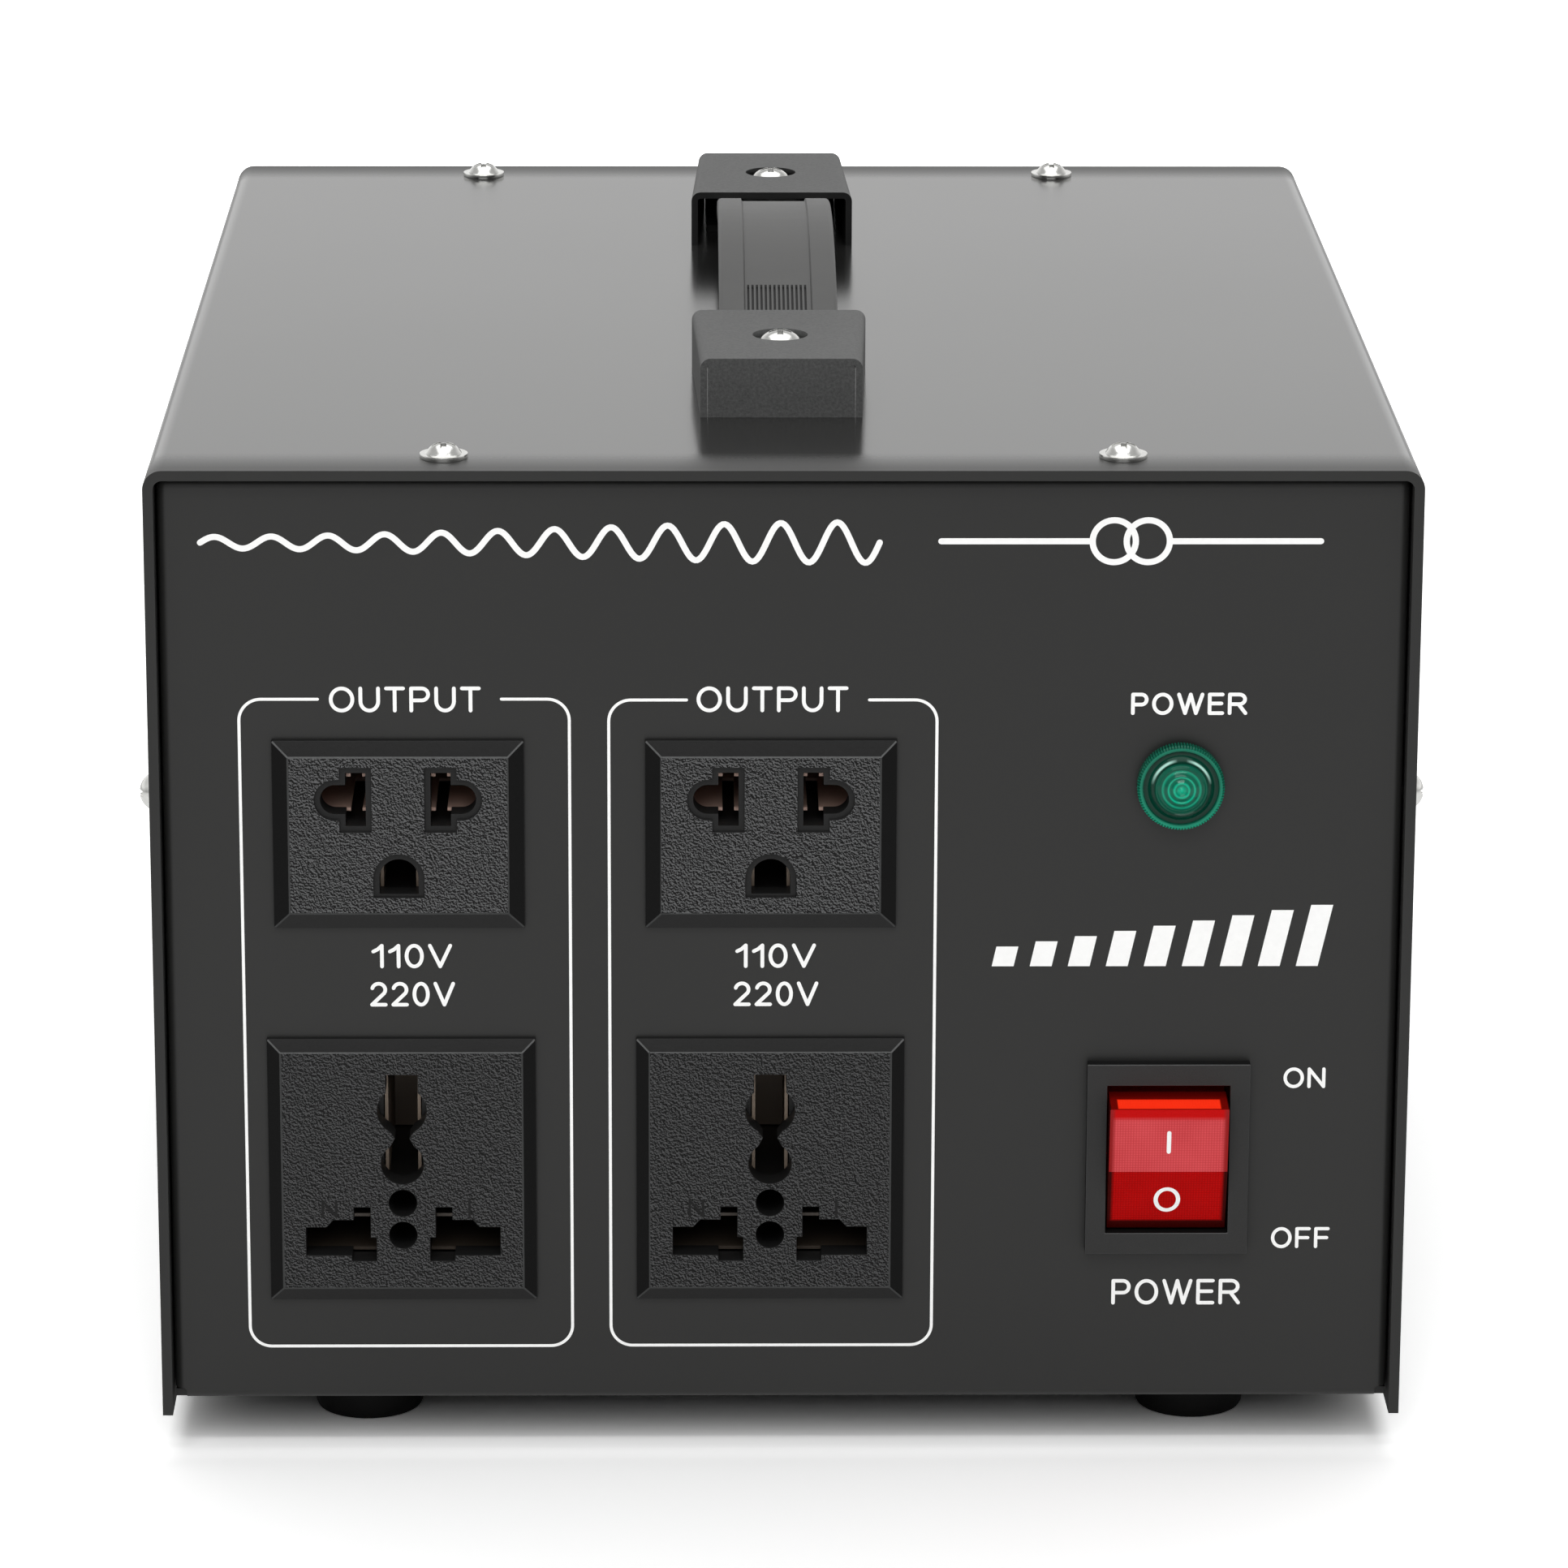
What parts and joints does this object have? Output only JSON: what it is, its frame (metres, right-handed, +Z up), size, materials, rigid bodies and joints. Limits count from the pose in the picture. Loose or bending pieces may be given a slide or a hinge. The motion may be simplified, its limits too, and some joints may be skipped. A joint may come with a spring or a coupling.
{
  "type": "step-up step-down transformer",
  "caption": "Voltage converter in a folded black steel case with universal outlets, rocker switch, green lamp and a sprung strap handle.",
  "frame": {"origin": "middle of the footprint at the height the rubber feet stand on", "axes": "+X to the right seen from the front, +Y from the front panel to the rear panel, +Z up"},
  "size_m": [0.1996, 0.2483, 0.175],
  "materials": {
    "cover_paint": "satin powder coat",
    "tray_paint": "satin powder coat",
    "contact_brass": "bare strip",
    "tinned_brass": "tinned",
    "black_rubber": "matte",
    "strap_grey": "soft matte",
    "cap_paint": "fine texture paint",
    "outlet_grain": "leather grain",
    "black_plastic": "smooth",
    "switch_frame": "fine texture",
    "rocker_red": "translucent gloss",
    "button_red": "gloss",
    "lens_green": "translucent gloss",
    "bulb_glass": "clear",
    "core_steel": "wound strip",
    "insulation_tape": "tape",
    "copper_wire": "enamelled",
    "yellow_tape": "film",
    "cream_plastic": "smooth",
    "zinc_steel": "bright zinc"
  },
  "bodies": {
    "case": {"cover": "cover_paint", "tray": "tray_paint", "cover_top_screws": "zinc_steel", "cover_side_screws": "zinc_steel", "feet": "black_rubber", "foot_screws": "zinc_steel", "foot_nuts": "zinc_steel", "handle_cap_front": "cap_paint", "handle_cap_rear": "cap_paint", "handle_bushes": "zinc_steel", "handle_screws": "zinc_steel", "handle_nuts": "zinc_steel", "upper_left_outlet_face": "outlet_grain", "upper_left_outlet_body": "black_plastic", "upper_left_outlet_contacts": "contact_brass", "upper_right_outlet_face": "outlet_grain", "upper_right_outlet_body": "black_plastic", "upper_right_outlet_contacts": "contact_brass", "lower_left_outlet_face": "outlet_grain", "lower_left_outlet_body": "black_plastic", "lower_left_outlet_contacts": "contact_brass", "lower_right_outlet_face": "outlet_grain", "lower_right_outlet_body": "black_plastic", "lower_right_outlet_contacts": "contact_brass", "switch_housing": "switch_frame", "switch_tabs": "tinned_brass", "lamp_lens": "lens_green", "lamp_barrel": "black_plastic", "lamp_nut": "zinc_steel", "lamp_bulb": "bulb_glass", "breaker_case": "black_plastic", "breaker_nut": "zinc_steel", "breaker_tabs": "tinned_brass", "selector_housing": "black_plastic", "selector_screws": "zinc_steel", "selector_nuts": "zinc_steel", "selector_tabs": "tinned_brass", "gland_body": "black_plastic", "gland_seal": "black_rubber", "gland_lock_nut": "black_plastic", "core": "core_steel", "core_wrap": "insulation_tape", "winding": "copper_wire", "outer_tape": "yellow_tape", "ring_pads": "black_rubber", "clamp_dish": "zinc_steel", "clamp_bolt": "zinc_steel", "clamp_nut": "zinc_steel", "terminal_block": "cream_plastic", "terminal_screws": "zinc_steel"},
    "rocker": {"switch_rocker": "rocker_red"},
    "grip": {"strap_grip": "strap_grey", "strap_flex_front": "strap_grey", "strap_flex_rear": "strap_grey"},
    "front_strap_end": {"strap_end_front": "strap_grey"},
    "rear_strap_end": {"strap_end_rear": "strap_grey"},
    "reset_button": {"breaker_button": "button_red"},
    "voltage_slider": {"selector_slider": "button_red"}
  },
  "joints": [
    {"name": "power_rocker", "type": "hinge", "parent": "case", "child": "rocker", "pos_m": [0.0602, -0.116, 0.0494], "axis": [-1, 0, 0], "range_deg": [0, 26]},
    {"name": "handle_lift", "type": "slide", "parent": "case", "child": "grip", "axis": [0, 0, 1], "range_m": [0, 0.012], "deforming": ["strap_flex_front", "strap_flex_rear"]},
    {"name": "front_end_slide", "type": "slide", "parent": "grip", "child": "front_strap_end", "axis": [0, 0.3511, -0.9363], "range_m": [0, 0.01282]},
    {"name": "rear_end_slide", "type": "slide", "parent": "grip", "child": "rear_strap_end", "axis": [0, -0.3511, -0.9363], "range_m": [0, 0.01282]},
    {"name": "reset_press", "type": "slide", "parent": "case", "child": "reset_button", "axis": [0, -1, 0], "range_m": [0, 0.0018], "stiffness_N_per_m": 600},
    {"name": "voltage_select", "type": "slide", "parent": "case", "child": "voltage_slider", "axis": [-1, 0, 0], "range_m": [0, 0.006]}
  ],
  "couplings": [
    {"joint": "front_end_slide", "follows": "handle_lift", "ratio": 1.068},
    {"joint": "rear_end_slide", "follows": "handle_lift", "ratio": 1.068}
  ]
}
